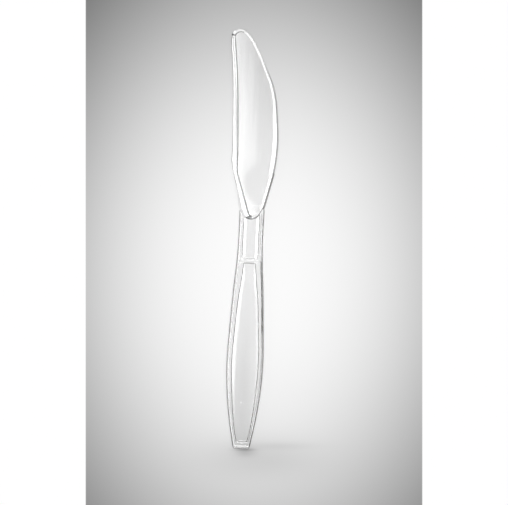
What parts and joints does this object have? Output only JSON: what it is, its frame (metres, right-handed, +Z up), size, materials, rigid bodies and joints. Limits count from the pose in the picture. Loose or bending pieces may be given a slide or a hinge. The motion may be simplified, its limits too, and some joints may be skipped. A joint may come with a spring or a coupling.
{
  "type": "disposable plastic knife",
  "caption": "Clear moulded table knife with a channel handle, a leaf panel, a ribbed spine and a fine-toothed curved edge.",
  "frame": {"origin": "centre of the box at the surface that the knife lies on", "axes": "+Y from the handle's end to the tip, +X to the cutting edge, +Z up through the front face"},
  "size_m": [0.0236, 0.19, 0.0041],
  "materials": {
    "clear_plastic": "clear and colourless, glossy"
  },
  "bodies": {
    "root": {"knife": "clear_plastic"}
  },
  "joints": []
}
